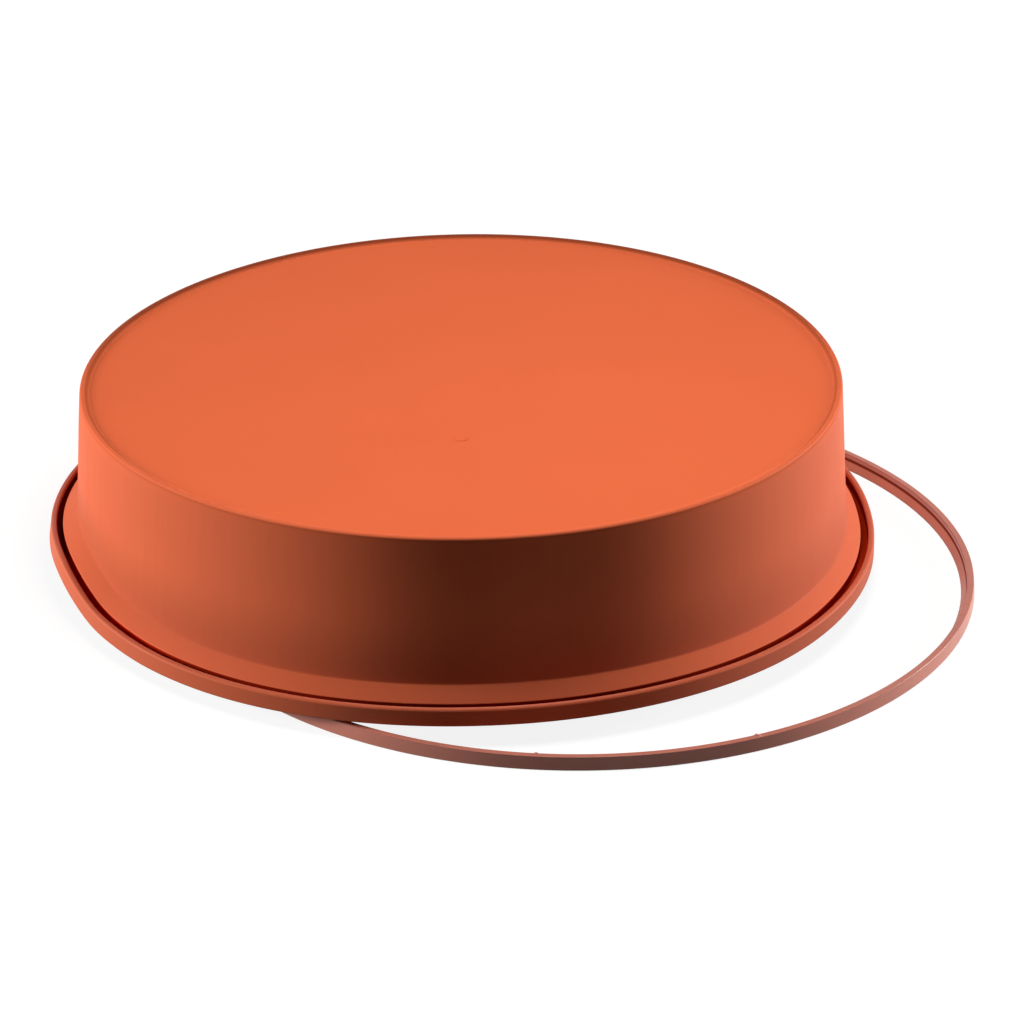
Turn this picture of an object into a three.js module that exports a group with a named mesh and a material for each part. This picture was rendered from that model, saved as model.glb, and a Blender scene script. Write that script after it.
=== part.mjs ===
// Round silicone cake pan standing base up, with the separate ring that stiffens its rim.
// Millimetres, +Z up. The pan is one soft moulding, a body of revolution: a flat base inside a
// low bead, a drafted wall, a flare, and a rim whose groove lies between the flare and an outer
// lip. The ring is one stiff moulding, whose rib fits the groove and whose bevelled foot lies on
// the flare. Here the ring lies on the table, partly under the pan. One side of the rim rests on
// it and the other on the table, so the pan leans a little.

import * as THREE from 'three';

// Pan: base and wall
const BASE_RADIUS = 130;
const PAN_HEIGHT = 61.5;
const WALL_DRAFT = THREE.MathUtils.degToRad(4.2);
const WALL_THICKNESS = 2.2;
const BASE_THICKNESS = 2.6;
const BASE_EDGE_RADIUS = 0.7;
const INNER_BASE_RADIUS = 6;

// Pan: bead round the base
const BEAD_HEIGHT = 0.9;
const BEAD_CREST = 1.7;
const BEAD_SLOPE = 1.9;
const BEAD_FILLET = 0.8;

// Pan: flare, groove and lip
const FLARE_WIDTH = 4.2;
const FLARE_HEIGHT = 5.15;
const FLARE_FOOT_HEIGHT = 6.05;
const GROOVE_WIDTH = 2.9;
const GROOVE_FLOOR_RADIUS = 0.5;
const WEB_THICKNESS = 2.2;
const LIP_THICKNESS = 1.9;
const LIP_HEIGHT = 6.25;
const RIM_EDGE_RADIUS = 0.5;
const SHOULDER_FILLET = 0.8;
const INNER_FLARE_RADIUS = 2;

// Ring
const RIB_HEIGHT = 2.2;
const FOOT_WIDTH = 1.9;
const FOOT_EDGE_HEIGHT = 0.4;
const RING_EDGE_RADIUS = 0.3;
const FIT_CLEARANCE = 0.1;

// How the two lie together
const RING_OFFSET = 39.7;
const RING_BEARING = THREE.MathUtils.degToRad(-27.6);
const REST_GAP = 0.3;

// Fineness of the facets
const SEGMENTS = 90;
const ARC_STEP = 2.4;
const LEAST_ARC_STEPS = 2;

const PAN_COLOUR = 0xdf673c;
const RING_COLOUR = 0xb4705d;
const SILICONE_ROUGHNESS = 0.55;
const RING_ROUGHNESS = 0.45;

// Radii and levels that follow from the sizes above, with the rim's underside at zero
const wallRadius = (z) => BASE_RADIUS + (PAN_HEIGHT - z) * Math.tan(WALL_DRAFT);
const shoulderZ = FLARE_FOOT_HEIGHT + FLARE_HEIGHT;
const shoulderRadius = wallRadius(shoulderZ);
const flareFootRadius = shoulderRadius + FLARE_WIDTH;
const grooveOuterRadius = flareFootRadius + GROOVE_WIDTH;
const rimRadius = grooveOuterRadius + LIP_THICKNESS;
const baseFaceZ = PAN_HEIGHT - BEAD_HEIGHT;
const innerBaseZ = baseFaceZ - BASE_THICKNESS;
const ribOuterRadius = grooveOuterRadius - FIT_CLEARANCE;
const ribInnerRadius = flareFootRadius + FIT_CLEARANCE;
const footHeight = FOOT_EDGE_HEIGHT + FOOT_WIDTH * FLARE_HEIGHT / FLARE_WIDTH;
const ringHeight = footHeight + RIB_HEIGHT;

// Points of the arc that rounds the corner between two straight runs
function roundedCorner(before, corner, after, radius) {
  const back = before.clone().sub(corner).normalize();
  const ahead = after.clone().sub(corner).normalize();
  const halfAngle = Math.acos(THREE.MathUtils.clamp(back.dot(ahead), -1, 1)) / 2;
  const bisector = back.clone().add(ahead).normalize();
  const centre = corner.clone().addScaledVector(bisector, radius / Math.sin(halfAngle));
  const start = corner.clone().addScaledVector(back, radius / Math.tan(halfAngle)).sub(centre);
  const turn = (Math.PI - 2 * halfAngle) * Math.sign(back.cross(ahead)) * -1;
  const steps = Math.max(LEAST_ARC_STEPS, Math.ceil(Math.abs(turn) * radius / ARC_STEP));
  return Array.from({ length: steps + 1 }, (_, i) =>
    start.clone().rotateAround(new THREE.Vector2(), turn * i / steps).add(centre));
}

// Outline through corners given as [radius from the axis, height, rounding]
function outline(corners, closed) {
  const points = corners.map(([r, z]) => new THREE.Vector2(r, z));
  const count = points.length;
  const rounded = corners.flatMap(([, , rounding], i) => {
    if (!rounding) return [points[i]];
    return roundedCorner(points[(i + count - 1) % count], points[i], points[(i + 1) % count], rounding);
  });
  return closed ? [...rounded, rounded[0]] : rounded;
}

// Corner of the parallel outline that lies one thickness inside two runs of the pan's outside
function insetCorner(before, corner, after, thickness) {
  const rightOf = (from, to) => {
    const run = to.clone().sub(from).normalize();
    return new THREE.Vector2(run.y, -run.x);
  };
  const first = rightOf(before, corner);
  const second = rightOf(corner, after);
  const reach = thickness / (1 + first.dot(second));
  return corner.clone().addScaledVector(first.add(second), reach);
}

// Body of revolution about the vertical axis, from an outline that runs clockwise
function revolve(profile) {
  return new THREE.LatheGeometry(profile.toReversed(), SEGMENTS).rotateX(Math.PI / 2);
}

function makePan() {
  const baseCorner = new THREE.Vector2(BASE_RADIUS, PAN_HEIGHT);
  const shoulder = new THREE.Vector2(shoulderRadius, shoulderZ);
  const flareFoot = new THREE.Vector2(flareFootRadius, FLARE_FOOT_HEIGHT);
  const underFlareFoot = new THREE.Vector2(flareFootRadius, 0);
  const innerShoulder = insetCorner(baseCorner, shoulder, flareFoot, WALL_THICKNESS);
  const innerFlareFoot = insetCorner(shoulder, flareFoot, underFlareFoot, WALL_THICKNESS);
  const innerBaseCorner = wallRadius(innerBaseZ) - WALL_THICKNESS / Math.cos(WALL_DRAFT);
  const profile = outline([
    [0, baseFaceZ, 0],
    [BASE_RADIUS - BEAD_CREST - BEAD_SLOPE, baseFaceZ, BEAD_FILLET],
    [BASE_RADIUS - BEAD_CREST, PAN_HEIGHT, BASE_EDGE_RADIUS],
    [BASE_RADIUS, PAN_HEIGHT, BASE_EDGE_RADIUS],
    [shoulder.x, shoulder.y, SHOULDER_FILLET],
    [flareFoot.x, flareFoot.y, RIM_EDGE_RADIUS],
    [flareFootRadius, WEB_THICKNESS, GROOVE_FLOOR_RADIUS],
    [grooveOuterRadius, WEB_THICKNESS, GROOVE_FLOOR_RADIUS],
    [grooveOuterRadius, LIP_HEIGHT, RIM_EDGE_RADIUS],
    [rimRadius, LIP_HEIGHT, RIM_EDGE_RADIUS],
    [rimRadius, 0, RIM_EDGE_RADIUS],
    [innerFlareFoot.x, 0, RIM_EDGE_RADIUS],
    [innerFlareFoot.x, innerFlareFoot.y, INNER_FLARE_RADIUS],
    [innerShoulder.x, innerShoulder.y, INNER_FLARE_RADIUS],
    [innerBaseCorner, innerBaseZ, INNER_BASE_RADIUS],
    [0, innerBaseZ, 0],
  ], false);
  const material = new THREE.MeshStandardMaterial({ color: PAN_COLOUR, roughness: SILICONE_ROUGHNESS });
  const mesh = new THREE.Mesh(revolve(profile), material);
  mesh.name = 'silicone_pan';
  return { mesh, rimInnerRadius: innerFlareFoot.x };
}

function makeRing() {
  const footRadius = ribInnerRadius - FOOT_WIDTH;
  const profile = outline([
    [ribInnerRadius, ringHeight, RING_EDGE_RADIUS],
    [ribOuterRadius, ringHeight, RING_EDGE_RADIUS],
    [ribOuterRadius, 0, RING_EDGE_RADIUS],
    [footRadius, 0, 0],
    [footRadius, FOOT_EDGE_HEIGHT, 0],
    [ribInnerRadius, footHeight, RING_EDGE_RADIUS],
  ], true);
  const material = new THREE.MeshStandardMaterial({ color: RING_COLOUR, roughness: RING_ROUGHNESS });
  const mesh = new THREE.Mesh(revolve(profile), material);
  mesh.name = 'support_ring';
  return mesh;
}

const pan = makePan();
const ring = makeRing();
ring.position.set(RING_OFFSET * Math.cos(RING_BEARING), RING_OFFSET * Math.sin(RING_BEARING), 0);

// Along the line of centres, the rim meets the rib first where the rim's inner edge
// crosses the rib's outer edge. The opposite edge of the rim stands on the table.
const standingRadius = rimRadius - RIM_EDGE_RADIUS;
const contactReach = (pan.rimInnerRadius ** 2 - ribOuterRadius ** 2 + RING_OFFSET ** 2) / (2 * RING_OFFSET);
const lean = Math.asin((ringHeight + REST_GAP) / (standingRadius + contactReach));
const leanAxis = new THREE.Vector3(Math.sin(RING_BEARING), -Math.cos(RING_BEARING), 0);
const leaningPan = new THREE.Group();
leaningPan.add(pan.mesh);
leaningPan.quaternion.setFromAxisAngle(leanAxis, lean);
leaningPan.position.z = standingRadius * Math.sin(lean);

// The origin is on the table, under the middle of the pair's bounding box
const pair = new THREE.Group();
pair.add(leaningPan, ring);
const extent = new THREE.Box3().setFromObject(pair, true);
const middle = extent.getCenter(new THREE.Vector3());
pair.position.set(-middle.x, -middle.y, -extent.min.z);

const model = new THREE.Group();
model.add(pair);

export default model;
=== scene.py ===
"""Looks of a round silicone cake pan that stands base up, leaning on its loose stiffening ring."""

import logging
import math
from dataclasses import dataclass, field
from enum import Enum
from functools import reduce
from typing import Any, Sequence

import bpy
from mathutils import Matrix, Vector

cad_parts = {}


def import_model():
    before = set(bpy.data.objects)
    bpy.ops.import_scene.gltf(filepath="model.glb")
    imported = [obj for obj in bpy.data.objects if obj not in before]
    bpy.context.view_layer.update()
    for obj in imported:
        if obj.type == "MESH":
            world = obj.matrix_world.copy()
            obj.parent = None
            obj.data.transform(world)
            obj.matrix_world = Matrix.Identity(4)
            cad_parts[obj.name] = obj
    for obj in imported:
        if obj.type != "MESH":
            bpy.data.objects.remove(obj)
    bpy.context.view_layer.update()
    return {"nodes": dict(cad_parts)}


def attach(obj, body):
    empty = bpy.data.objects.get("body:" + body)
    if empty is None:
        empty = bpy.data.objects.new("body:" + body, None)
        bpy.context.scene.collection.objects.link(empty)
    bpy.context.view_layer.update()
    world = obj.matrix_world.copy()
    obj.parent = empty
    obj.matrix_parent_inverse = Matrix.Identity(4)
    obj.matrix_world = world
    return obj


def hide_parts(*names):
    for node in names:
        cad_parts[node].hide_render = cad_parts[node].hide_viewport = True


LOG = logging.getLogger("cake_pan")
MM = 0.001
IMAGE_PIXELS = 1024
SENSOR_MM = 36.0

UNIT = (0.0, 1.0)
NOISE_RANGE = (0.3, 0.7)
WHITE = (1.0, 1.0, 1.0, 1.0)
OVAL_LOBES = 2.0
TREFOIL_LOBES = 3.0

Colour = tuple[float, float, float]
Point = tuple[float, float, float]
Span = tuple[float, float]
Piece = bpy.types.Object
Socket = bpy.types.NodeSocket


class Body(Enum):
    """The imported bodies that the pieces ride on."""

    PAN = "pan"
    RING = "ring"


class Node(Enum):
    """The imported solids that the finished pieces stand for."""

    PAN = "silicone_pan"
    RING = "support_ring"


class Slot(Enum):
    """The record's material slots."""

    SILICONE = "silicone"
    RING_PLASTIC = "ring_plastic"


class NodeBoard:
    """A node tree, with short calls to add nodes, link them and set their values."""

    def __init__(self, tree: bpy.types.NodeTree) -> None:
        """Holds the shader or geometry tree that gets the nodes."""
        self.tree = tree

    def add(self, kind: str, settings: dict[str, Any] | None = None, **inputs: Any) -> bpy.types.Node:
        """Adds a node.

        Args:
            kind: the node's type name.
            settings: properties of the node itself.
            inputs: values or output sockets for its input sockets; a name's underscores are spaces.

        Returns:
            The new node.
        """
        node = self.tree.nodes.new(kind)
        for name, value in (settings or {}).items():
            setattr(node, name, value)
        for name, value in inputs.items():
            self.feed(node, name.replace("_", " "), value)
        return node

    def feed(self, node: bpy.types.Node, name: str | int, value: Any) -> None:
        """Links an output socket to a node's input, or sets that input's value.

        Args:
            node: the node that is fed.
            name: the input's name or number.
            value: an output socket, or a plain value.
        """
        socket = self._enabled(node, name)
        if isinstance(value, Socket):
            self.tree.links.new(value, socket)
        else:
            socket.default_value = value

    @staticmethod
    def _enabled(node: bpy.types.Node, name: str | int) -> Socket:
        """Finds the input that is in use for a node's data type.

        Args:
            node: the node.
            name: the input's name or number.

        Returns:
            The input.
        """
        if isinstance(name, int):
            return node.inputs[name]
        return next(s for s in node.inputs if s.name == name and s.enabled)

    def math(self, operation: str, first: Any, second: Any = None, clamp: bool = False) -> Socket:
        """Adds a math node.

        Args:
            operation: the node's operation.
            first: the first operand.
            second: the second operand, if it has one.
            clamp: whether the result stays between 0 and 1.

        Returns:
            The result's socket.
        """
        node = self.add("ShaderNodeMath", {"operation": operation, "use_clamp": clamp})
        self.feed(node, 0, first)
        if second is not None:
            self.feed(node, 1, second)
        return node.outputs[0]

    def vector(self, operation: str, first: Any, second: Any = None, scale: Any = None) -> Socket:
        """Adds a vector math node.

        Args:
            operation: the node's operation.
            first: the first operand.
            second: the second operand, if it has one.
            scale: the factor, where it scales.

        Returns:
            The result's socket, a number for a product or a length.
        """
        node = self.add("ShaderNodeVectorMath", {"operation": operation})
        self.feed(node, 0, first)
        if second is not None:
            self.feed(node, 1, second)
        if scale is not None:
            self.feed(node, "Scale", scale)
        return node.outputs["Value" if operation in ("DOT_PRODUCT", "LENGTH") else "Vector"]

    def map_range(self, value: Any, source: tuple[Any, Any], target: Span, smooth: bool = False) -> Socket:
        """Maps one range of a value to another.

        Args:
            value: the socket to map.
            source: the low and high end of the range it is read in, numbers or sockets.
            target: what these ends become.
            smooth: whether the change eases in and out.

        Returns:
            The mapped value's socket.
        """
        kind = "SMOOTHSTEP" if smooth else "LINEAR"
        node = self.add("ShaderNodeMapRange", {"interpolation_type": kind}, Value=value)
        for name, number in zip(("From Min", "From Max", "To Min", "To Max"), (*source, *target)):
            self.feed(node, name, number)
        return node.outputs[0]

    def product(self, *factors: Any) -> Socket:
        """Returns the product of two or more values."""
        return reduce(lambda first, second: self.math("MULTIPLY", first, second), factors)

    def rest(self, value: Socket) -> Socket:
        """Returns what a value leaves of 1."""
        return self.math("SUBTRACT", 1.0, value)

    def split(self, vector: Socket) -> Any:
        """Returns the sockets of a vector's three parts."""
        return self.add("ShaderNodeSeparateXYZ", Vector=vector).outputs

    def mix(self, factor: Socket, first: Any, second: Any) -> Socket:
        """Returns the mix of two colours, each of them a socket or a plain colour."""
        a, b = ((*c, 1.0) if isinstance(c, tuple) else c for c in (first, second))
        return self.add("ShaderNodeMix", {"data_type": "RGBA"}, Factor=factor, A=a, B=b).outputs["Result"]


@dataclass(frozen=True)
class Corner:
    """A corner of a moulding's outline, in millimetres.

    Attributes:
        radius: distance from the moulding's axis.
        height: height above the moulding's rim plane or underside.
        rounding: radius of the arc that rounds the corner.
    """

    radius: float
    height: float
    rounding: float = 0.0


@dataclass(frozen=True)
class Outline:
    """The section of a body of revolution, as points close enough for smooth shading.

    Attributes:
        corners: the corners in order, clockwise round the material.
        closed: whether the last corner joins the first, away from the axis.
        arc_turn: the most that an arc turns from one point to the next.
        run_step: the longest straight step, in millimetres.
        guard: distance from an arc's end to the point that keeps the flat beside it flat.
        least_steps: the fewest steps of an arc.
        least_run: the shortest run with guard points, in guards.
    """

    corners: Sequence[Corner]
    closed: bool
    arc_turn: float = math.radians(12)
    run_step: float = 6.0
    guard: float = 0.22
    least_steps: int = 2
    least_run: float = 4.0

    def points(self) -> list[Point]:
        """Follows the outline through its arcs and straight runs.

        Returns:
            Its points in the plane of X and Z, in metres.
        """
        arcs = [self._arc(i) for i in range(len(self.corners))]
        found: list[Vector] = []
        for i, arc in enumerate(arcs):
            if i:
                found += self._run(arcs[i - 1][-1], arc[0])
            found += arc
        if self.closed:
            found += self._run(arcs[-1][-1], arcs[0][0])
            found.append(found[0].copy())
        return [(p.x * MM, 0.0, p.y * MM) for p in found]

    def _arc(self, i: int) -> list[Vector]:
        """Returns the points that round one corner.

        Args:
            i: the corner's number.

        Returns:
            The arc's points, or the corner itself where it is sharp.
        """
        here = self.corners[i]
        at = Vector((here.radius, here.height))
        if not here.rounding:
            return [at]
        before, after = self.corners[i - 1], self.corners[(i + 1) % len(self.corners)]
        back = (Vector((before.radius, before.height)) - at).normalized()
        ahead = (Vector((after.radius, after.height)) - at).normalized()
        half = math.acos(max(-1.0, min(1.0, back.dot(ahead)))) / 2
        centre = at + (back + ahead).normalized() * (here.rounding / math.sin(half))
        start = at + back * (here.rounding / math.tan(half)) - centre
        turn = (math.pi - 2 * half) * -math.copysign(1.0, back.x * ahead.y - back.y * ahead.x)
        steps = max(self.least_steps, math.ceil(abs(turn) / self.arc_turn))
        return [centre + Matrix.Rotation(turn * k / steps, 2) @ start for k in range(steps + 1)]

    def _run(self, start: Vector, end: Vector) -> list[Vector]:
        """Returns the points between two arcs, with one guard point beside each.

        Args:
            start: the last point of the arc before.
            end: the first point of the arc after.

        Returns:
            The points strictly between the two.
        """
        run = end - start
        length = run.length
        if length < self.least_run * self.guard:
            return []
        inner = length - 2 * self.guard
        count = max(1, math.ceil(inner / self.run_step))
        stations = [self.guard + inner * k / count for k in range(count + 1)]
        return [start + run * (s / length) for s in stations]


@dataclass(frozen=True)
class RimWave:
    """How the soft rim rises and sinks on its way round.

    Attributes:
        stations: bearings in degrees, from the front through the right, back and left to the front
            again, each with the rim's height above its plane there in millimetres.
        low: height at the foot of the curve, in millimetres.
        high: height at the top of the curve, in millimetres.
    """

    stations: Sequence[Span]
    low: float = -4.0
    high: float = 10.0

    def fill(self, node: bpy.types.Node) -> None:
        """Sets a curve node's points, where one turn from the front runs from 0 to 1.

        Args:
            node: the float curve node.
        """
        curve = node.mapping.curves[0]
        spots = [(bearing / 360.0, (height - self.low) / (self.high - self.low))
                 for bearing, height in self.stations]
        curve.points[0].location = spots[0]
        curve.points[-1].location = spots[-1]
        for spot in spots[1:-1]:
            curve.points.new(*spot)
        node.mapping.update()


RIM_WAVE = RimWave((
    (0.0, 0.0), (10.0, -0.3), (20.0, -0.65), (30.0, -1.15), (40.0, -1.75), (50.0, -2.2), (65.0, -2.3),
    (80.0, -2.4), (90.0, -1.9), (98.0, -0.8), (108.0, -0.1), (125.0, 0.0), (150.0, 0.0), (175.0, -0.6),
    (195.0, -1.3), (205.0, -0.75), (215.0, 0.6), (225.0, 2.6), (234.0, 4.7), (242.0, 6.1), (252.0, 6.9),
    (260.0, 7.1), (268.0, 7.7), (276.0, 8.2), (280.0, 8.2), (283.0, 7.8), (285.5, 7.15), (288.0, 6.25),
    (290.2, 5.4), (292.1, 4.55), (294.2, 3.6), (296.3, 2.8), (298.5, 2.25), (301.2, 1.8), (303.7, 1.4),
    (306.0, 1.05), (308.2, 0.78), (310.3, 0.6), (316.0, 0.25), (322.0, 0.05), (330.0, 0.0), (345.0, 0.1),
    (360.0, 0.0),
))


@dataclass(frozen=True)
class Easing:
    """How a moulding departs from a true body of revolution.

    Attributes:
        rim_wave: share of the rim wave that it takes on.
        wave_foot: height up to which it takes all of that share, in metres.
        wave_end: height from which it takes none of it, in metres.
        skew: sideways shift for each metre of height.
        tilt: rise for each metre of height and each metre sideways.
        oval: share of the radius by which it is drawn out along one diameter.
        oval_bearing: bearing of that diameter.
        trefoil: share of the radius by which it is drawn out at three bearings.
        trefoil_bearing: the first of the three.
        round_foot: height up to which it stays round, in metres.
        round_end: height from which it is drawn out in full, in metres.
        lip_draw: share of the radius that the lip's top gains for each metre that the wave lifts it.
        lip_start: radius from which it gains that, in metres.
        lip_end: radius from which it gains all of it, in metres.
        lip_top: height from which it gains all of it, in metres.
    """

    rim_wave: float = 0.0
    wave_foot: float = 0.0
    wave_end: float = 1.0
    skew: Point = (0.0, 0.0, 0.0)
    tilt: Point = (0.0, 0.0, 0.0)
    oval: float = 0.0
    oval_bearing: float = 0.0
    trefoil: float = 0.0
    trefoil_bearing: float = 0.0
    round_foot: float = -1.0
    round_end: float = -0.5
    lip_draw: float = 0.0
    lip_start: float = 0.0
    lip_end: float = 1.0
    lip_top: float = 1.0

    def inputs(self) -> dict[str, Any]:
        """Returns the easing as the tree's inputs by name."""
        return {name.replace("_", " ").capitalize(): value for name, value in vars(self).items()}

    @classmethod
    def sockets(cls) -> list[tuple[str, str]]:
        """Returns the names and kinds of the tree's inputs that take an easing."""
        return [(name, "Vector" if isinstance(value, tuple) else "Float")
                for name, value in cls().inputs().items()]

    def stretch(self, bearing: float) -> float:
        """Finds how far the round is drawn out at a bearing.

        Args:
            bearing: the bearing.

        Returns:
            What the radius is multiplied by there, where it is drawn out in full.
        """
        oval = self.oval * math.cos(OVAL_LOBES * (bearing - self.oval_bearing))
        trefoil = self.trefoil * math.cos(TREFOIL_LOBES * (bearing - self.trefoil_bearing))
        return 1 + oval + trefoil


class PieceTree:
    """A geometry tree with named inputs, which makes a finished piece of a bare mesh."""

    NAME: str
    INPUTS: tuple[tuple[str, str], ...]
    JOINED = False

    def __init__(self) -> None:
        """Makes the tree, from its inputs through its own nodes to the dressed piece."""
        self.tree = bpy.data.node_groups.new(self.NAME, "GeometryNodeTree")
        self.identifiers: dict[str, str] = {}
        for name, kind in self.INPUTS:
            made = self.tree.interface.new_socket(name=name, in_out="INPUT", socket_type="NodeSocket" + kind)
            self.identifiers[name] = made.identifier
        self.tree.interface.new_socket(name="Piece", in_out="OUTPUT", socket_type="NodeSocketGeometry")
        board = NodeBoard(self.tree)
        given = board.add("NodeGroupInput").outputs
        real = board.add("GeometryNodeRealizeInstances", Geometry=self.wire(board, given))
        dressed = board.add("GeometryNodeSetMaterial", Geometry=real.outputs[0], Material=given["Finish"])
        board.add("NodeGroupOutput", Piece=dressed.outputs[0])

    def wire(self, board: NodeBoard, given: Any) -> Socket:
        """Adds the nodes that shape the piece.

        Args:
            board: the tree's board.
            given: the tree's inputs.

        Returns:
            The socket of the shape.
        """
        raise NotImplementedError

    def make(self, name: str, points: Sequence[Point], values: dict[str, Any]) -> Piece:
        """Runs the tree on points and keeps the result as a plain mesh.

        Args:
            name: the piece's name.
            points: the outline's points or the marks' places, in metres.
            values: the tree's other inputs by name.

        Returns:
            An object at the origin with no modifier.
        """
        mesh = bpy.data.meshes.new(name + "_points")
        edges = [(i, i + 1) for i in range(len(points) - 1)] if self.JOINED else []
        mesh.from_pydata(points, edges, [])
        piece = bpy.data.objects.new(name, mesh)
        modifier = piece.modifiers.new(self.NAME, "NODES")
        modifier.node_group = self.tree
        for key, value in values.items():
            modifier[self.identifiers[key]] = value
        bpy.context.scene.collection.objects.link(piece)
        bpy.context.view_layer.update()
        evaluated = piece.evaluated_get(bpy.context.evaluated_depsgraph_get())
        finished = bpy.data.meshes.new_from_object(evaluated)
        piece.modifiers.remove(modifier)
        piece.data = finished
        finished.name = name
        bpy.data.meshes.remove(mesh)
        return piece


class RevolveTree(PieceTree):
    """Geometry nodes that turn an outline into a moulding, ease its shape and set it in its place."""

    NAME = "Revolved moulding"
    SECTION = "section"
    INPUTS = (("Outline", "Geometry"), ("Segments", "Int"), *Easing.sockets(), ("Lean axis", "Vector"),
              ("Lean", "Float"), ("Place", "Vector"), ("Finish", "Material"))
    ON_POINTS = {"data_type": "FLOAT_VECTOR", "domain": "POINT"}
    JOINED = True
    MERGE = 2e-6
    TURN_TO_FRONT = 0.25

    def __init__(self, wave: RimWave) -> None:
        """Builds the tree for the wave of a soft rim."""
        self.wave = wave
        super().__init__()

    def wire(self, board: NodeBoard, given: Any) -> Socket:
        """Adds the nodes that revolve, ease and place the moulding.

        Args:
            board: the tree's board.
            given: the tree's inputs.

        Returns:
            The socket of the moulding.
        """
        size = board.add("GeometryNodeAttributeDomainSize", {"component": "MESH"}, Geometry=given["Outline"])
        count = size.outputs["Point Count"]
        columns = board.math("ADD", given["Segments"], 1.0)
        grid = board.add("GeometryNodeMeshGrid", Size_X=1.0, Size_Y=1.0, Vertices_X=columns, Vertices_Y=count)
        index = board.add("GeometryNodeInputIndex").outputs[0]
        station = board.math("FLOOR", board.math("DIVIDE", board.math("ADD", index, 0.5), count))
        row = board.math("SUBTRACT", index, board.product(station, count))
        sample = board.add("GeometryNodeSampleIndex", self.ON_POINTS, Geometry=given["Outline"], Index=row,
                           Value=board.add("GeometryNodeInputPosition").outputs[0])
        turn = board.product(board.math("DIVIDE", station, given["Segments"]), math.tau)
        spun = board.add("ShaderNodeVectorRotate", {"rotation_type": "Z_AXIS"},
                         Vector=sample.outputs[0], Angle=turn).outputs[0]
        shaped = board.add("GeometryNodeSetPosition", Geometry=grid.outputs["Mesh"], Position=spun)
        marked = board.add("GeometryNodeStoreNamedAttribute", self.ON_POINTS,
                           Geometry=shaped.outputs[0], Name=self.SECTION, Value=sample.outputs[0])
        whole = board.add("GeometryNodeMergeByDistance", Geometry=marked.outputs[0], Distance=self.MERGE)
        eased = board.add("GeometryNodeSetPosition", Geometry=whole.outputs[0],
                          Offset=self._easing(board, given))
        smooth = board.add("GeometryNodeSetShadeSmooth", Geometry=eased.outputs[0], Shade_Smooth=True)
        lean = board.add("FunctionNodeAxisAngleToRotation", Axis=given["Lean axis"], Angle=given["Lean"])
        placed = board.add("GeometryNodeTransform", Geometry=smooth.outputs[0],
                           Translation=given["Place"], Rotation=lean.outputs[0])
        return placed.outputs[0]

    def _easing(self, board: NodeBoard, given: Any) -> Socket:
        """Adds the nodes that wave the rim, lean the wall and draw the round out of true.

        Args:
            board: the tree's board.
            given: the tree's inputs.

        Returns:
            The socket of the offset.
        """
        where = board.add("GeometryNodeInputPosition").outputs[0]
        parts = board.split(where)
        bearing = board.math("ARCTAN2", parts[1], parts[0])
        leaning = board.product(board.vector("DOT_PRODUCT", where, given["Tilt"]), parts[2])
        wave = self._wave(board, given, bearing, parts[2])
        rise = board.math("ADD", leaning, wave)
        shift = board.vector("SCALE", given["Skew"], scale=parts[2])
        oval = self._lobes(board, bearing, OVAL_LOBES, given["Oval"], given["Oval bearing"])
        trefoil = self._lobes(board, bearing, TREFOIL_LOBES, given["Trefoil"], given["Trefoil bearing"])
        lobes = board.math("ADD", oval, trefoil)
        drawn_out = board.map_range(parts[2], (given["Round foot"], given["Round end"]), UNIT, smooth=True)
        flat = board.add("ShaderNodeCombineXYZ", X=parts[0], Y=parts[1])
        reach = board.vector("LENGTH", flat.outputs[0])
        on_lip = board.product(
            board.map_range(reach, (given["Lip start"], given["Lip end"]), UNIT, smooth=True),
            board.map_range(parts[2], (0.0, given["Lip top"]), UNIT, smooth=True))
        lift = board.product(board.math("MAXIMUM", wave, 0.0), given["Lip draw"])
        stretch = board.math("ADD", board.product(lobes, drawn_out), board.product(lift, on_lip))
        drawn = board.vector("ADD", board.vector("SCALE", flat.outputs[0], scale=stretch), shift)
        return board.vector("ADD", drawn, board.add("ShaderNodeCombineXYZ", Z=rise).outputs[0])

    def _wave(self, board: NodeBoard, given: Any, bearing: Socket, height: Socket) -> Socket:
        """Adds the rim's wave.

        Args:
            board: the tree's board.
            given: the tree's inputs.
            bearing: each point's bearing.
            height: each point's height.

        Returns:
            The socket of the rise.
        """
        turned = board.math("ADD", board.math("DIVIDE", bearing, math.tau), self.TURN_TO_FRONT)
        turn = board.math("FRACT", turned)
        curve = board.add("ShaderNodeFloatCurve", Value=turn)
        self.wave.fill(curve)
        rise = board.map_range(curve.outputs[0], UNIT, (self.wave.low * MM, self.wave.high * MM))
        still = board.map_range(height, (given["Wave foot"], given["Wave end"]), UNIT, smooth=True)
        return board.product(rise, board.product(board.rest(still), given["Rim wave"]))

    @staticmethod
    def _lobes(board: NodeBoard, bearing: Socket, count: float, share: Socket, first: Socket) -> Socket:
        """Returns a stretch with a number of lobes round the moulding, from the first one's bearing on."""
        angle = board.product(board.math("SUBTRACT", bearing, first), count)
        return board.product(board.math("COSINE", angle), share)


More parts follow.
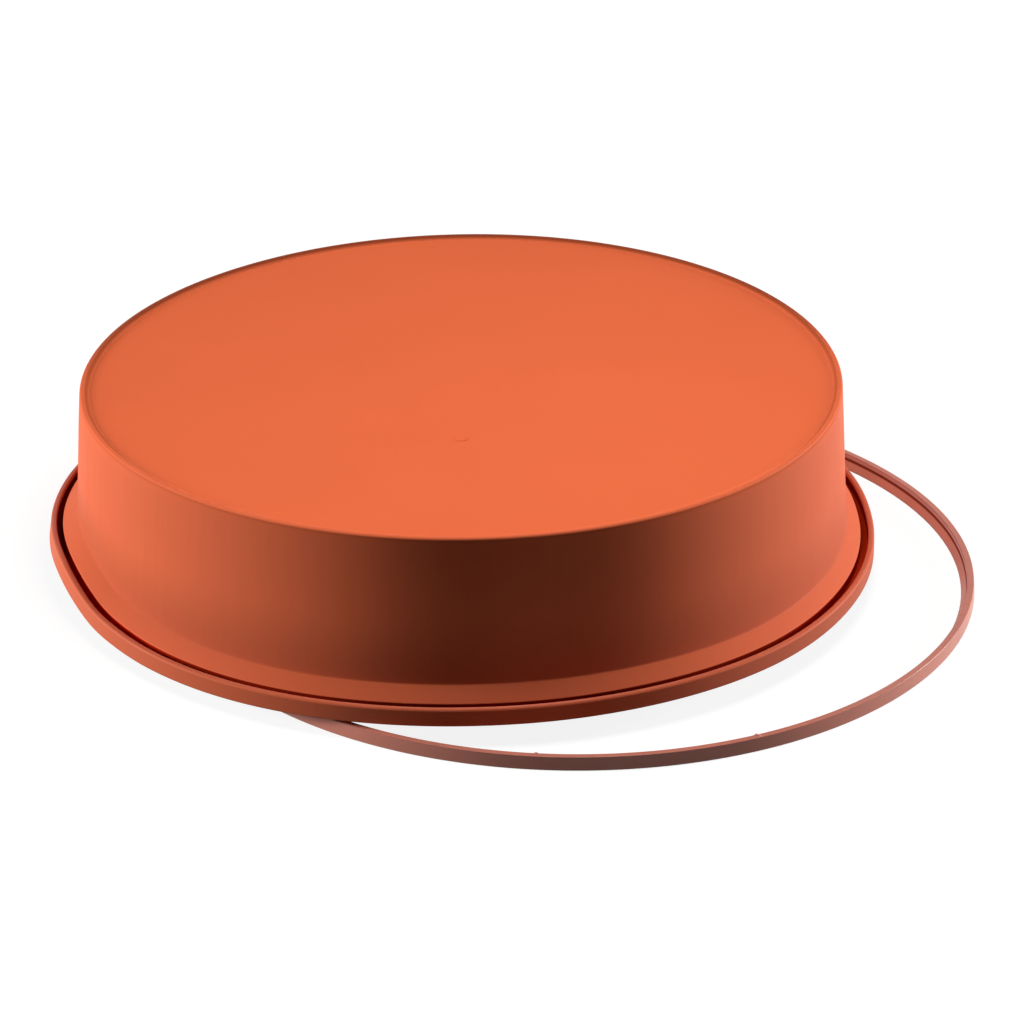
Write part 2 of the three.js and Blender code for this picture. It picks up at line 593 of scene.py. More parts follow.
class StubTree(PieceTree):
    """Geometry nodes that set a low moulding mark at each point of a mesh."""

    NAME = "Moulding stubs"
    INPUTS = (("Points", "Geometry"), ("Stub size", "Vector"), ("Centre", "Vector"), ("Finish", "Material"))
    SIDES = 16
    RINGS = 10

    def wire(self, board: NodeBoard, given: Any) -> Socket:
        """Adds the nodes that shape a mark and set one at each point.

        Args:
            board: the tree's board.
            given: the tree's inputs.

        Returns:
            The socket of the marks.
        """
        ball = board.add("GeometryNodeMeshUVSphere", Segments=self.SIDES, Rings=self.RINGS, Radius=0.5)
        shaped = board.add("GeometryNodeTransform", Geometry=ball.outputs["Mesh"], Scale=given["Stub size"])
        smooth = board.add("GeometryNodeSetShadeSmooth", Geometry=shaped.outputs[0], Shade_Smooth=True)
        where = board.add("GeometryNodeInputPosition").outputs[0]
        parts = board.split(board.vector("SUBTRACT", where, given["Centre"]))
        bearing = board.math("ARCTAN2", parts[1], parts[0])
        facing = board.add("ShaderNodeCombineXYZ", Z=bearing)
        turned = board.add("FunctionNodeEulerToRotation", Euler=facing.outputs[0])
        stubs = board.add("GeometryNodeInstanceOnPoints", Points=given["Points"],
                          Instance=smooth.outputs[0], Rotation=turned.outputs[0])
        return stubs.outputs[0]


@dataclass(frozen=True)
class Band:
    """A stretch of a value with soft ends, in metres.

    Attributes:
        start: where it begins.
        full: where it is first full.
        last: where it is last full.
        end: where it is over.
    """

    start: float
    full: float
    last: float
    end: float

    def mask(self, board: NodeBoard, value: Socket) -> Socket:
        """Adds the mask of the stretch.

        Args:
            board: the material's board.
            value: the value that is tested.

        Returns:
            A socket that is 1 inside the stretch.
        """
        rising = board.map_range(value, (self.start, self.full), UNIT, smooth=True)
        falling = board.map_range(value, (self.last, self.end), (1.0, 0.0), smooth=True)
        return board.product(rising, falling)


class Section:
    """A point's place in its moulding's section, as sockets."""

    def __init__(self, board: NodeBoard) -> None:
        """Adds the reading of the place.

        Args:
            board: the material's board.
        """
        stored = board.add("ShaderNodeAttribute", {"attribute_name": RevolveTree.SECTION})
        self.board = board
        self.reach, _, self.level = board.split(stored.outputs["Vector"])


@dataclass(frozen=True)
class Zone:
    """A zone of a moulding's section.

    Attributes:
        reach: its distances from the moulding's axis.
        level: its heights.
        shade: the share of the colour that it takes away as painted shade; a share below 0 adds painted
            light.
    """

    reach: Band
    level: Band
    shade: float = 0.0

    def inside(self, section: Section) -> Socket:
        """Returns the zone's mask, which is 1 inside it, from the place in the section."""
        board = section.board
        return board.product(self.reach.mask(board, section.reach), self.level.mask(board, section.level))

    def kept(self, section: Section, share: Socket | None = None) -> Socket:
        """Adds the share of the colour that the zone keeps under its painted shade.

        Args:
            section: the place in the section.
            share: how much of the shade applies, if not all.

        Returns:
            A socket that is 1 outside the zone.
        """
        inside = self.inside(section)
        if share is not None:
            inside = section.board.product(inside, share)
        return section.board.rest(section.board.product(inside, self.shade))


ANYWHERE = Band(-1.0, -0.9, 0.9, 1.0)


@dataclass(frozen=True)
class Noise:
    """A noise over a piece.

    Attributes:
        scale: how many of its bumps lie on a metre.
        detail: how many finer layers it has.
        roughness: how strong these are.
    """

    scale: float
    detail: float
    roughness: float = 0.5

    def build(self, board: NodeBoard, place: Socket) -> Socket:
        """Returns the noise's value at a place."""
        return board.add("ShaderNodeTexNoise", Vector=place, Scale=self.scale, Detail=self.detail,
                         Roughness=self.roughness).outputs["Fac"]


def start_material(name: str) -> tuple[bpy.types.Material, NodeBoard]:
    """Makes a material with nodes.

    Args:
        name: the material's name.

    Returns:
        The material, and the board of its tree.
    """
    material = bpy.data.materials.new(name)
    material.use_nodes = True
    return material, NodeBoard(material.node_tree)


def roughen(board: NodeBoard, rub: Socket, roughness: Span, relief: Socket, strength: float,
            depth: float) -> None:
    """Gives a material's shader its uneven roughness and its fine grain.

    Args:
        board: the material's board.
        rub: the noise of the roughness.
        roughness: lowest and highest roughness.
        relief: the noise of the grain.
        strength: the grain's strength.
        depth: the grain's depth in metres.
    """
    shader = board.tree.nodes["Principled BSDF"]
    board.feed(shader, "Roughness", board.map_range(rub, NOISE_RANGE, roughness))
    bump = board.add("ShaderNodeBump", Strength=strength, Distance=depth, Height=relief)
    board.feed(shader, "Normal", bump.outputs["Normal"])


@dataclass(frozen=True)
class SiliconeFinish:
    """Satin moulded silicone: orange, with faint mottling, drawn streaks on the wall and a fine grain, and
    with painted shade and painted light in zones of its section.

    Attributes:
        deep: the darker tint of the mottling.
        bright: the lighter tint of the mottling.
        groove_shade_tint: the dark red painted into the groove as its shade.
        roughness: lowest and highest roughness.
        specular: strength of the reflections.
        lip_specular: strength of the reflections on the handled lip.
        sheen: strength of the haze on the wall and rim.
        ior: the silicone's index of refraction.
        mottle: the noise of the mottling.
        rub: the noise of the roughness.
        grit: the noise of the grain.
        grain: depth of the surface grain in metres.
        grain_strength: strength of the surface grain.
        streak: how much the wall's streaks darken the colour.
        streak_noise: the noise of the streaks.
        streak_range: the stretch of that noise that shows.
        streak_scale: how many streaks lie on a metre, across and up the wall.
        wall: heights of the streaks.
        hazy: heights of the haze.
        groove: the narrow rim groove, where shade is painted into the colour.
        groove_wall: the groove's inner face, up to the flare, where shade is painted too.
        groove_light_depths: the depths at which painted light lightens the groove.
        groove_painted_light: how much painted light that adds, at the left and at the right.
        across: the stretch over which the left's painted light gives way to the right's, in metres.
        lip: the top of the lip, darkened with painted shade.
        lip_face_shade: the lip's outer face, darkened with painted shade.
        handled: the whole of the lip's outside.
        crease: the slope inside the base's bead, darkened with painted shade.
        face: the flat of the base, which is too matt to mirror anything.
        flare: the flare between the wall and the groove, darkened with painted shade.
        root: the wall's lower part, down to the flare, darkened with painted shade.
        crest: the bead's crest, darkened with painted shade.
        crease_sides: the depths at which the crease's painted shade is full, at the left and right.
        crease_back: share of the crease's painted shade at the back.
        far_side: the stretch over which the crest's painted shade sets in towards the back, in metres.
        near_share: share of the crest's painted shade at the front.
        front: the stretch over which the flare's deeper painted shade at the front ends, in metres.
        front_share: share of the flare's painted shade at the front.
        right: the stretch over which the lip face's deeper painted shade at the right sets in, in metres.
        right_share: share of the lip face's painted shade at the right.
        right_gloss: share of the lip's reflections at the right.
    """

    deep: Colour = (0.775, 0.146, 0.055)
    bright: Colour = (0.8, 0.151, 0.057)
    groove_shade_tint: Colour = (0.27, 0.013, 0.002)
    roughness: Span = (0.5, 0.62)
    specular: float = 0.06
    lip_specular: float = 0.2
    sheen: float = 0.12
    ior: float = 1.41
    mottle: Noise = Noise(16.0, 3.0, 0.55)
    rub: Noise = Noise(55.0, 4.0, 0.6)
    grit: Noise = Noise(1400.0, 2.0, 0.6)
    grain: float = 0.00004
    grain_strength: float = 0.35
    streak: float = 0.02
    streak_noise: Noise = Noise(1.0, 2.0)
    streak_range: Span = (0.35, 0.7)
    streak_scale: Point = (420.0, 420.0, 5.0)
    wall: Band = Band(0.011, 0.014, 0.057, 0.06)
    hazy: Band = Band(-0.002, -0.001, 0.059, 0.061)
    groove: Zone = Zone(Band(0.13765, 0.13788, 0.14062, 0.1411), Band(0.001, 0.002, 0.0049, 0.0057))
    groove_wall: Zone = Zone(Band(0.13745, 0.1377, 0.1388, 0.1392), Band(0.001, 0.002, 0.0056, 0.006))
    groove_light_depths: Band = Band(-0.1, -0.07, -0.03, 0.005)
    groove_painted_light: Span = (1.2, 0.6)
    across: Span = (-0.06, 0.06)
    lip: Zone = Zone(Band(0.14, 0.1406, 0.15, 0.16), Band(0.0055, 0.006, 0.02, 0.03), 0.34)
    lip_face_shade: Zone = Zone(Band(0.1414, 0.142, 0.15, 0.16), Band(-0.01, -0.005, 0.0051, 0.0057), 0.17)
    handled: Zone = Zone(Band(0.1404, 0.1411, 0.15, 0.16), Band(-0.01, -0.005, 0.02, 0.03))
    crease: Zone = Zone(Band(0.1262, 0.128, 0.1284, 0.129), Band(0.0595, 0.0605, 0.07, 0.08), 0.36)
    face: Zone = Zone(Band(-1.0, -0.9, 0.1255, 0.1275), Band(0.0585, 0.06, 0.07, 0.08))
    flare: Zone = Zone(Band(0.1328, 0.1332, 0.1376, 0.13805), Band(0.0055, 0.006, 0.0102, 0.0108), 0.18)
    root: Zone = Zone(Band(0.12, 0.121, 0.1331, 0.1334), Band(0.0102, 0.0106, 0.012, 0.036), 0.24)
    crest: Zone = Zone(Band(0.1268, 0.1288, 0.14, 0.15), Band(0.0602, 0.0608, 0.07, 0.08), 0.62)
    crease_sides: Band = Band(-0.085, -0.03, 0.03, 0.1)
    crease_back: float = 0.55
    far_side: Span = (0.0, 0.08)
    near_share: float = 0.175
    front: Span = (-0.14, -0.09)
    front_share: float = 1.8
    right: Span = (0.0, 0.11)
    right_share: float = 1.7
    right_gloss: float = 0.5

    def build(self) -> bpy.types.Material:
        """Makes the silicone from its colour with its painted shade and light, grain, gloss and haze.

        Returns:
            The material.
        """
        material, board = start_material("orange_silicone")
        shader = board.tree.nodes["Principled BSDF"]
        place = board.add("ShaderNodeTexCoord").outputs["Object"]
        section = Section(board)
        # The groove's mask: shade is painted into its colour, and it neither mirrors nor hazes.
        groove_shade_mask = board.math("MAXIMUM", self.groove.inside(section), self.groove_wall.inside(section))
        board.feed(shader, "Base Color", self._colour(board, place, section, groove_shade_mask))
        roughen(board, self.rub.build(board, place), self.roughness,
                self.grit.build(board, place), self.grain_strength, self.grain)
        board.feed(shader, "IOR", self.ior)
        right = board.map_range(board.split(place)[0], self.right, (1.0, self.right_gloss), smooth=True)
        on_lip = board.product(self.handled.inside(section), right)
        gloss = board.map_range(on_lip, UNIT, (self.specular, self.lip_specular))
        outside = board.rest(groove_shade_mask)
        matt = board.math("MAXIMUM", self.crease.inside(section), self.face.inside(section))
        shiny = board.math("SUBTRACT", outside, matt, clamp=True)
        board.feed(shader, "Specular IOR Level", board.product(gloss, shiny))
        haze = board.map_range(self.hazy.mask(board, section.level), UNIT, (0.0, self.sheen))
        board.feed(shader, "Sheen Weight", board.product(haze, outside))
        return material

    def _colour(self, board: NodeBoard, place: Socket, section: Section, groove_shade_mask: Socket) -> Socket:
        """Adds the mottled colour, with painted shade in the section's darker zones and painted light at the
        groove's sides.

        Args:
            board: the material's board.
            place: the object coordinates.
            section: the place in the section.
            groove_shade_mask: the mask of the groove, where shade is painted.

        Returns:
            The socket of the colour.
        """
        cloud = board.map_range(self.mottle.build(board, place), NOISE_RANGE, UNIT)
        # Painted shade: the groove's colour gives way to a dark red.
        mixed = board.mix(groove_shade_mask, board.mix(cloud, self.deep, self.bright), self.groove_shade_tint)
        aside, depth, _ = board.split(place)
        light = self._streaks(board, place, section)
        far = board.map_range(depth, self.far_side, (self.near_share, 1.0), smooth=True)
        sides = board.math("MAXIMUM", self.crease_sides.mask(board, depth),
                           board.map_range(depth, self.far_side, (0.0, self.crease_back)))
        near = board.map_range(depth, self.front, (self.front_share, 1.0), smooth=True)
        right = board.map_range(aside, self.right, (1.0, self.right_share), smooth=True)
        # Painted shade darkens the crest, the crease, the flare, the lip's face and top and the wall's root,
        # each by its share.
        shaded = ((self.crest, far), (self.crease, sides), (self.flare, near), (self.lip_face_shade, right),
                  (self.lip, None), (self.root, None))
        kept = [zone.kept(section, share) for zone, share in shaded]
        # Painted light lightens the groove's painted shade at its sides, more at the left than at the right.
        more = board.product(groove_shade_mask, self.groove_light_depths.mask(board, depth),
                             board.map_range(aside, self.across, self.groove_painted_light))
        light = board.product(light, *kept, board.math("ADD", 1.0, more))
        tone = board.add("ShaderNodeHueSaturation", Color=mixed, Value=light)
        return tone.outputs["Color"]

    def _streaks(self, board: NodeBoard, place: Socket, section: Section) -> Socket:
        """Adds the upright streaks that the mould leaves on the wall.

        Args:
            board: the material's board.
            place: the object coordinates.
            section: the place in the section.

        Returns:
            The socket of the light that they leave.
        """
        stretched = board.add("ShaderNodeMapping", Vector=place, Scale=self.streak_scale).outputs[0]
        drawn = self.streak_noise.build(board, stretched)
        depth = board.map_range(drawn, self.streak_range, (0.0, self.streak))
        return board.rest(board.product(depth, self.wall.mask(board, section.level)))


@dataclass(frozen=True)
class RingPlasticFinish:
    """Satin moulded plastic of the ring: brown pink, a little glossier than the pan, with flow marks, and
    with painted shade and painted light in zones of its section.

    Attributes:
        deep: the darker tint of the flow marks.
        bright: the lighter tint.
        crease_shade_tint: the red brown painted into the crease as its shade.
        roughness: lowest and highest roughness.
        specular: strength of the reflections, on the sides and on the rib's top.
        ior: the plastic's index of refraction.
        flow: the noise of the flow marks.
        rub: the noise of the roughness and the grain.
        grain: depth of the surface grain in metres.
        grain_strength: strength of the surface grain.
        crease: the crease between the rib and the foot, where shade is painted.
        inner: the rib's inner face, lightened with painted light.
        top: the rib's top, darkened with painted shade.
        foot: the foot's bevel, a little darkened with painted shade.
    """

    deep: Colour = (0.6, 0.192, 0.13)
    bright: Colour = (0.68, 0.22, 0.15)
    crease_shade_tint: Colour = (0.3, 0.055, 0.025)
    roughness: Span = (0.34, 0.46)
    specular: Span = (0.62, 0.35)
    ior: float = 1.5
    flow: Noise = Noise(42.0, 4.0, 0.6)
    rub: Noise = Noise(260.0, 3.0, 0.6)
    grain: float = 0.00003
    grain_strength: float = 0.3
    crease: Zone = Zone(Band(0.1374, 0.1379, 0.1381, 0.1384), Band(0.0021, 0.0026, 0.0031, 0.0038))
    inner: Zone = Zone(Band(0.1374, 0.1378, 0.1383, 0.1386), Band(0.003, 0.0034, 0.0045, 0.0049), -0.35)
    top: Zone = Zone(ANYWHERE, Band(0.0044, 0.0048, 0.05, 0.06), 0.24)
    foot: Zone = Zone(Band(0.1355, 0.136, 0.1374, 0.1379), Band(0.0002, 0.0004, 0.0022, 0.0027), 0.04)

    def build(self) -> bpy.types.Material:
        """Makes the plastic from its colour with its painted shade and light, grain and gloss.

        Returns:
            The material.
        """
        material, board = start_material("brown_pink_plastic")
        shader = board.tree.nodes["Principled BSDF"]
        place = board.add("ShaderNodeTexCoord").outputs["Object"]
        section = Section(board)
        cloud = board.map_range(self.flow.build(board, place), NOISE_RANGE, UNIT)
        # Painted shade darkens the rib's top and the foot's bevel, and painted light lightens the rib's inner
        # face.
        light = board.product(*(zone.kept(section) for zone in (self.top, self.foot, self.inner)))
        tint = board.mix(cloud, self.deep, self.bright)
        tone = board.add("ShaderNodeHueSaturation", Color=tint, Value=light)
        # Painted shade: the crease's colour gives way to a red brown.
        crease_shade_mask = self.crease.inside(section)
        board.feed(shader, "Base Color", board.mix(crease_shade_mask, tone.outputs["Color"], self.crease_shade_tint))
        rub = self.rub.build(board, place)
        roughen(board, rub, self.roughness, rub, self.grain_strength, self.grain)
        board.feed(shader, "IOR", self.ior)
        gloss = board.map_range(self.top.inside(section), UNIT, self.specular)
        board.feed(shader, "Specular IOR Level", board.product(gloss, board.rest(crease_shade_mask)))
        return material


@dataclass(frozen=True)
class FloorFinish:
    """Pale floor that looks white to the camera and keeps a soft shadow.

    Attributes:
        own: the floor's own grey, which lights the object.
        shown: the grey whose light the camera sees.
        glow: the white that the camera sees under it, near the object and far from it.
        fade: the distances from near to far, in metres.
    """

    own: float = 0.03
    shown: float = 0.2
    glow: Span = (0.87, 1.0)
    fade: Span = (0.3, 0.6)

    def build(self) -> bpy.types.Material:
        """Mixes the floor that lights the object with the floor that the camera sees.

        Returns:
            The material.
        """
        material, board = start_material("pale_floor")
        board.tree.nodes.clear()
        own, matt = (board.add("ShaderNodeBsdfDiffuse", Color=(grey, grey, grey, 1.0))
                     for grey in (self.own, self.shown))
        away = board.vector("LENGTH", board.add("ShaderNodeTexCoord").outputs["Object"])
        lit = board.map_range(away, self.fade, self.glow, smooth=True)
        glow = board.add("ShaderNodeEmission", Color=WHITE, Strength=lit)
        white = board.add("ShaderNodeAddShader")
        mix = board.add("ShaderNodeMixShader")
        for i, shader in enumerate((matt, glow)):
            board.feed(white, i, shader.outputs[0])
        for i, socket in enumerate((seen_directly(board), own.outputs[0], white.outputs[0])):
            board.feed(mix, i, socket)
        board.add("ShaderNodeOutputMaterial", Surface=mix.outputs[0])
        return material


def seen_directly(board: NodeBoard) -> Socket:
    """Adds the test of whether the camera sees a surface straight, mirrored or through glass.

    Args:
        board: the tree's board.

    Returns:
        A socket that is 1 where it does.
    """
    path = board.add("ShaderNodeLightPath").outputs
    mirrored = board.math("MAXIMUM", path["Is Glossy Ray"], path["Is Transmission Ray"])
    return board.math("MAXIMUM", path["Is Camera Ray"], mirrored)


@dataclass
class SiliconePan:
    """The soft pan: base inside its bead, drafted wall, flare, rim groove and lip.

    Its sizes and the pip's place are in millimetres, and the rim's centre is in metres.
    """

    base_radius: float = 130.4
    height: float = 61.75
    draft: float = math.radians(2.9)
    wall: float = 2.2
    base: float = 2.6
    base_edge: float = 0.8
    inner_base_edge: float = 6.0
    bead_height: float = 0.9
    bead_crest: float = 1.5
    bead_crest_edge: float = 0.5
    bead_slope: float = 1.9
    bead_fillet: float = 0.6
    flare_width: float = 4.92
    flare_height: float = 4.55
    flare_foot: float = 6.05
    groove: float = 2.72
    groove_floor_edge: float = 0.5
    web: float = 2.2
    lip: float = 2.08
    lip_height: float = 6.25
    rim_edge: float = 0.5
    lip_edge: float = 0.8
    lip_inner_edge: float = 0.5
    shoulder_fillet: float = 0.8
    inner_flare_edge: float = 2.0
    segments: int = 300
    rim_centre: Point = (-0.0165356, 0.0081583, 0.0051413)
    lean: float = math.radians(2.0722)
    lean_bearing: float = math.radians(-27.6)
    easing: Easing = Easing(rim_wave=1.0, wave_foot=0.012, wave_end=0.048,
                            skew=(0.0198, 0.0013, 0.0), tilt=(-0.0977, -0.005, 0.0),
                            oval=0.0026, oval_bearing=math.radians(-2.4),
                            trefoil=0.00535, trefoil_bearing=math.radians(-45.0),
                            round_foot=0.012, round_end=0.055,
                            lip_draw=-0.55, lip_start=0.1382, lip_end=0.1404, lip_top=0.006)
    pip_radius: float = 1.9
    pip_height: float = 0.22
    pip_sunk: float = 0.4
    pip_place: Span = (-2.5, -48.3)
    pip_segments: int = 32
    finish: SiliconeFinish = field(default_factory=SiliconeFinish)

    def wall_radius(self, height: float) -> float:
        """Returns the wall's outer radius at a height above the rim's underside."""
        return self.base_radius + (self.height - height) * math.tan(self.draft)

    def inset(self, before: Vector, corner: Vector, after: Vector) -> Vector:
        """Finds the corner one wall thickness inside two runs of the outside.

        Args:
            before: start of the first run.
            corner: where the runs meet.
            after: end of the second run.

        Returns:
            The inner corner.
        """
        first = (corner - before).normalized()
        second = (after - corner).normalized()
        inward = Vector((first.y, -first.x)) + Vector((second.y, -second.x))
        reach = self.wall / (1 + first.dot(second))
        return corner + inward * reach

    def outline(self) -> Outline:
        """Works out the pan's section from its sizes.

        Returns:
            The section, from the middle of the base round the rim to the inside.
        """
        shoulder_z = self.flare_foot + self.flare_height
        shoulder = Vector((self.wall_radius(shoulder_z), shoulder_z))
        foot = Vector((shoulder.x + self.flare_width, self.flare_foot))
        base_corner = Vector((self.base_radius, self.height))
        inner_shoulder = self.inset(base_corner, shoulder, foot)
        inner_foot = self.inset(shoulder, foot, Vector((foot.x, 0.0)))
        groove_outer = foot.x + self.groove
        rim = groove_outer + self.lip
        face = self.height - self.bead_height
        inside = face - self.base
        inner_corner = self.wall_radius(inside) - self.wall / math.cos(self.draft)
        crest = self.base_radius - self.bead_crest
        return Outline((
            Corner(0.0, face),
            Corner(crest - self.bead_slope, face, self.bead_fillet),
            Corner(crest, self.height, self.bead_crest_edge),
            Corner(self.base_radius, self.height, self.base_edge),
            Corner(shoulder.x, shoulder.y, self.shoulder_fillet),
            Corner(foot.x, foot.y, self.rim_edge),
            Corner(foot.x, self.web, self.groove_floor_edge),
            Corner(groove_outer, self.web, self.groove_floor_edge),
            Corner(groove_outer, self.lip_height, self.lip_inner_edge),
            Corner(rim, self.lip_height, self.lip_edge),
            Corner(rim, 0.0, self.rim_edge),
            Corner(inner_foot.x, 0.0, self.rim_edge),
            Corner(inner_foot.x, inner_foot.y, self.inner_flare_edge),
            Corner(inner_shoulder.x, inner_shoulder.y, self.inner_flare_edge),
            Corner(inner_corner, inside, self.inner_base_edge),
            Corner(0.0, inside),
        ), closed=False)

    def pip_outline(self) -> Outline:
        """Works out the section of the low moulding pip on the base.

        Returns:
            The section, from the middle of its top to the middle of its foot.
        """
        face = self.height - self.bead_height
        top, foot = face + self.pip_height, face - self.pip_sunk
        return Outline((
            Corner(0.0, top),
            Corner(self.pip_radius, top, self.pip_height / 2),
            Corner(self.pip_radius, foot),
            Corner(0.0, foot),
        ), closed=False)

    def build(self, revolve: RevolveTree) -> list[Piece]:
        """Builds the pan and the pip on its base.

        Args:
            revolve: the tree that turns outlines into mouldings.

        Returns:
            The pieces.
        """
        material = self.finish.build()
        axis = Vector((math.sin(self.lean_bearing), -math.cos(self.lean_bearing), 0.0))
        shared = {"Lean axis": axis, "Lean": self.lean, "Finish": material}
        shell = revolve.make("pan_shell", self.outline().points(), {
            **shared,
            **self.easing.inputs(),
            "Segments": self.segments,
            "Place": self.rim_centre,
        })
        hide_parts(Node.PAN.value)
        shift = Vector(self.easing.skew) * (self.height - self.bead_height)
        on_base = (Vector((*self.pip_place, 0.0)) + shift) * MM
        place = Vector(self.rim_centre) + Matrix.Rotation(self.lean, 3, axis) @ on_base
        pip = revolve.make("pan_base_pip", self.pip_outline().points(), {
            **shared,
            **Easing().inputs(),
            "Segments": self.pip_segments,
            "Place": place,
        })
        pieces = [shell, pip]
        for piece in pieces:
            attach(piece, Body.PAN.value)
        return pieces


@dataclass
class StiffeningRing:
    """The stiff ring: a rib that fits the pan's rim groove, on a bevelled foot.

    Its sizes are in millimetres, and the centre and the sizes of its marks are in metres.
    """

    rib_inner: float = 137.99
    rib_outer: float = 140.69
    foot_width: float = 1.9
    foot_edge: float = 0.4
    foot_height: float = 2.73
    height: float = 4.93
    edge: float = 0.3
    foot_rounding: float = 0.12
    outline_guard: float = 0.12
    taper: float = 0.3
    segments: int = 420
    centre: Point = (0.0186467, -0.0102346, 0.0)
    easing: Easing = Easing(oval=0.0068, oval_bearing=math.radians(-79.0),
                            trefoil=0.007, trefoil_bearing=math.radians(7.4))
    nub_inset: float = 0.3
    nub_size: Point = (0.001, 0.0015, 0.0007)
    ridge_size: Point = (0.002, 0.0008, 0.0005)
    nub_bearings: tuple[float, ...] = (math.radians(-97.6), math.radians(-66.8))
    ridge_bearings: tuple[float, ...] = (math.radians(-66.5),)
    finish: RingPlasticFinish = field(default_factory=RingPlasticFinish)

    def outline(self) -> Outline:
        """Returns the ring's section."""
        foot_inner = self.rib_inner - self.foot_width
        return Outline((
            Corner(self.rib_inner, self.height, self.edge),
            Corner(self.rib_outer - self.taper, self.height, self.edge),
            Corner(self.rib_outer, 0.0, self.edge),
            Corner(foot_inner, 0.0, self.foot_rounding),
            Corner(foot_inner, self.foot_edge, self.foot_rounding),
            Corner(self.rib_inner, self.foot_height, self.edge),
        ), closed=True, guard=self.outline_guard)

    def on_top(self, radius: float, bearings: Sequence[float]) -> list[Point]:
        """Finds points on the rib's top.

        Args:
            radius: their distance from the ring's axis, in millimetres.
            bearings: their bearings.

        Returns:
            The points in metres.
        """
        x, y, z = self.centre
        found = []
        for bearing in bearings:
            reach = radius * MM * self.easing.stretch(bearing)
            found.append((x + reach * math.cos(bearing), y + reach * math.sin(bearing), z + self.height * MM))
        return found

    def build(self, revolve: RevolveTree, stubs: StubTree) -> list[Piece]:
        """Builds the ring and its moulding marks.

        Args:
            revolve: the tree that turns outlines into mouldings.
            stubs: the tree that sets marks at points.

        Returns:
            The pieces.
        """
        material = self.finish.build()
        hoop = revolve.make("ring_hoop", self.outline().points(), {
            **self.easing.inputs(),
            "Segments": self.segments,
            "Lean axis": Vector((0.0, 0.0, 1.0)),
            "Lean": 0.0,
            "Place": self.centre,
            "Finish": material,
        })
        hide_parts(Node.RING.value)
        shared = {"Centre": self.centre, "Finish": material}
        nubs = stubs.make("ring_nubs", self.on_top(self.rib_inner + self.nub_inset, self.nub_bearings),
                          {**shared, "Stub size": self.nub_size})
        middle = (self.rib_inner + self.rib_outer) / 2
        ridges = stubs.make("ring_ridge", self.on_top(middle, self.ridge_bearings),
                            {**shared, "Stub size": self.ridge_size})
        pieces = [hoop, nubs, ridges]
        for piece in pieces:
            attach(piece, Body.RING.value)
        return pieces


@dataclass(frozen=True)
class Softbox:
    """A square soft lamp that faces the object.

    Attributes:
        name: the lamp's name.
        bearing: where it stands, from the front round to the right, in radians.
        elevation: its height angle above the floor, in radians.
        distance: its distance from the object, in metres.
        size: its side, in metres.
        level: the light that it throws on a surface that faces it, where 1 shows a colour as written.
    """

    name: str
    bearing: float
    elevation: float
    distance: float
    size: float
    level: float

    def build(self, aim: Vector) -> Piece:
        """Hangs the lamp.

        Args:
            aim: the point that it faces.

        Returns:
            The lamp.
        """
        light = bpy.data.lights.new(self.name, "AREA")
        light.shape = "SQUARE"
        light.size = self.size
        light.energy = self.level * (math.pi * self.distance) ** 2
        lamp = bpy.data.objects.new(self.name, light)
        flat = math.cos(self.elevation)
        away = Vector((math.sin(self.bearing) * flat, -math.cos(self.bearing) * flat,
                       math.sin(self.elevation)))
        lamp.location = aim + away * self.distance
        lamp.rotation_mode = "QUATERNION"
        lamp.rotation_quaternion = (-away).to_track_quat("-Z", "Y")
        bpy.context.scene.collection.objects.link(lamp)
        return lamp


@dataclass(frozen=True)
class ViewCamera:
    """The camera that sees the pair as the photograph does.

    Attributes:
        focal_pixels: focal length in image pixels.
        elevation: height angle of the view, in radians.
        yaw: turn of the view to the right, in radians.
        roll: tilt of the frame, in radians.
        distance: distance to the target, in metres.
        target: the point on the floor at the image's middle, in metres.
        clip_end: the farthest that it sees, in metres.
    """

    focal_pixels: float = 6500.0
    elevation: float = math.radians(25.749)
    yaw: float = math.radians(3.519)
    roll: float = math.radians(1.025)
    distance: float = 2.2905
    target: Point = (0.002648, 0.042167, 0.0)
    clip_end: float = 100.0

    def build(self) -> Piece:
        """Places the camera and makes it the scene's.

        Returns:
            The camera.
        """
        flat = math.cos(self.elevation)
        ahead = Vector((math.sin(self.yaw) * flat, math.cos(self.yaw) * flat, -math.sin(self.elevation)))
        level = Vector((math.cos(self.yaw), -math.sin(self.yaw), 0.0))
        rise = level.cross(ahead)
        right = level * math.cos(self.roll) + rise * math.sin(self.roll)
        up = rise * math.cos(self.roll) - level * math.sin(self.roll)
        data = bpy.data.cameras.new("view_camera")
        data.sensor_width = SENSOR_MM
        data.lens = self.focal_pixels / IMAGE_PIXELS * SENSOR_MM
        data.clip_end = self.clip_end
        camera = bpy.data.objects.new("view_camera", data)
        turn = Matrix((right, up, -ahead)).transposed().to_4x4()
        camera.matrix_world = Matrix.Translation(Vector(self.target) - ahead * self.distance) @ turn
        bpy.context.scene.collection.objects.link(camera)
        bpy.context.scene.camera = camera
        return camera


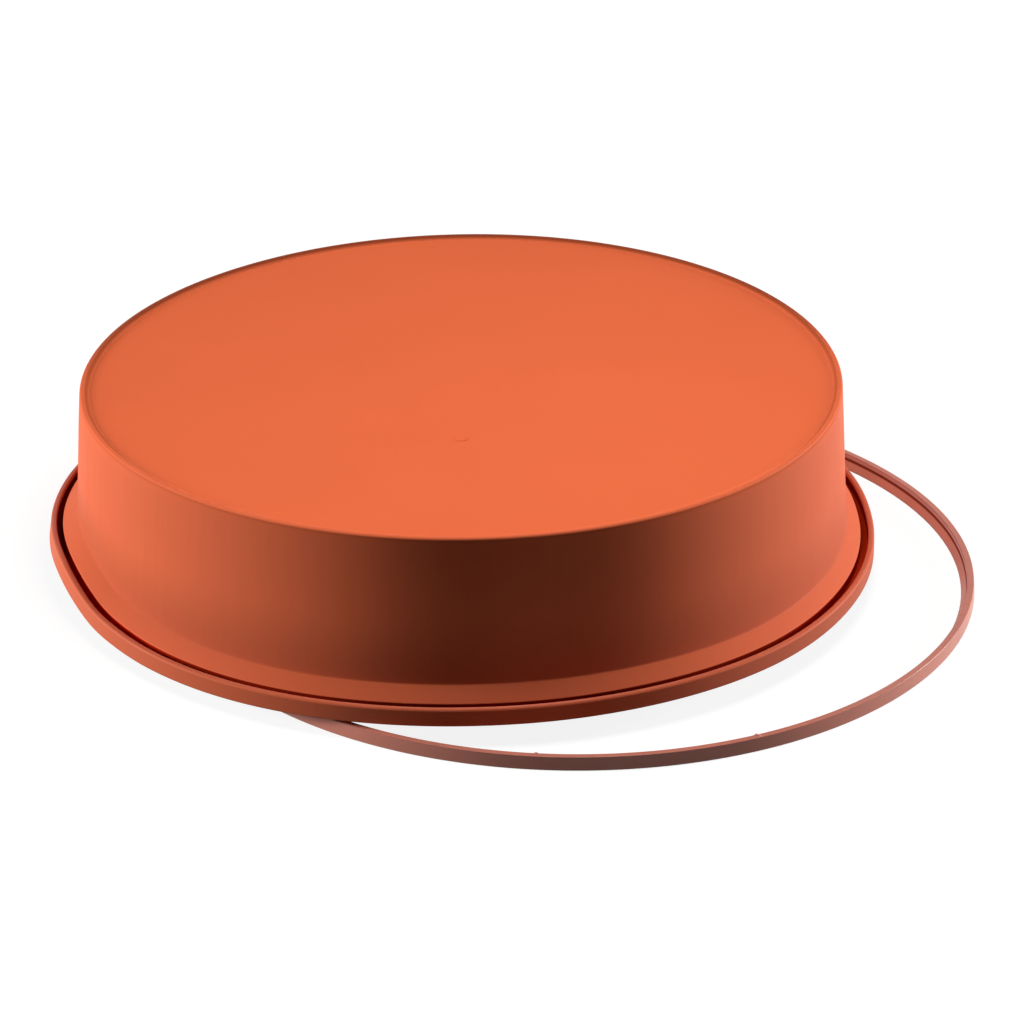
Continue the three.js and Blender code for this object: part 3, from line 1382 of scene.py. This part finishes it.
@dataclass
class Studio:
    """The floor, the lamps, the sky and the camera.

    Attributes:
        floor_half: half the floor's side, in metres.
        floor_drop: how far the floor lies under the object, in metres.
        sky: the grey of the light from all round.
        aim: what the lamps face.
        lamps: the soft lamps.
        camera: the camera.
        floor: the floor's finish.
    """

    floor_half: float = 6.0
    floor_drop: float = 0.0001
    sky: float = 0.008
    aim: Point = (0.0, 0.0, 0.04)
    lamps: tuple[Softbox, ...] = (
        Softbox("left_softbox", math.radians(-94.5), math.radians(11), 1.5, 0.4, 1.1),
        Softbox("right_softbox", math.radians(106.5), math.radians(8), 1.5, 0.4, 1.11),
        Softbox("top_softbox", math.radians(33), math.radians(77.9), 0.573, 0.26, 0.735),
    )
    camera: ViewCamera = field(default_factory=ViewCamera)
    floor: FloorFinish = field(default_factory=FloorFinish)

    def build(self) -> None:
        """Sets up everything round the object."""
        self._floor()
        self._sky()
        for lamp in self.lamps:
            lamp.build(Vector(self.aim))
        self.camera.build()
        bpy.context.scene.view_settings.view_transform = "Standard"

    def _floor(self) -> None:
        """Lays the floor."""
        h, z = self.floor_half, -self.floor_drop
        mesh = bpy.data.meshes.new("floor")
        mesh.from_pydata([(-h, -h, z), (h, -h, z), (h, h, z), (-h, h, z)], [], [(0, 1, 2, 3)])
        mesh.materials.append(self.floor.build())
        floor = bpy.data.objects.new("floor", mesh)
        bpy.context.scene.collection.objects.link(floor)

    def _sky(self) -> None:
        """Makes the sky white to the camera and dim as a light."""
        world = bpy.data.worlds.new("sky")
        world.use_nodes = True
        bpy.context.scene.world = world
        board = NodeBoard(world.node_tree)
        ground = world.node_tree.nodes["Background"]
        strength = board.map_range(seen_directly(board), UNIT, (self.sky, 1.0))
        board.feed(ground, "Color", WHITE)
        board.feed(ground, "Strength", strength)


def main() -> None:
    """Builds the pan, the ring and the studio, and logs the names of the imported solids."""
    logging.basicConfig(level=logging.INFO, format="%(name)s: %(message)s")
    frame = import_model()
    LOG.info("packed solids: %s", ", ".join(sorted(frame["nodes"])))
    revolve = RevolveTree(RIM_WAVE)
    pieces = SiliconePan().build(revolve)
    pieces += StiffeningRing().build(revolve, StubTree())
    Studio().build()


if __name__ == "__main__":
    main()
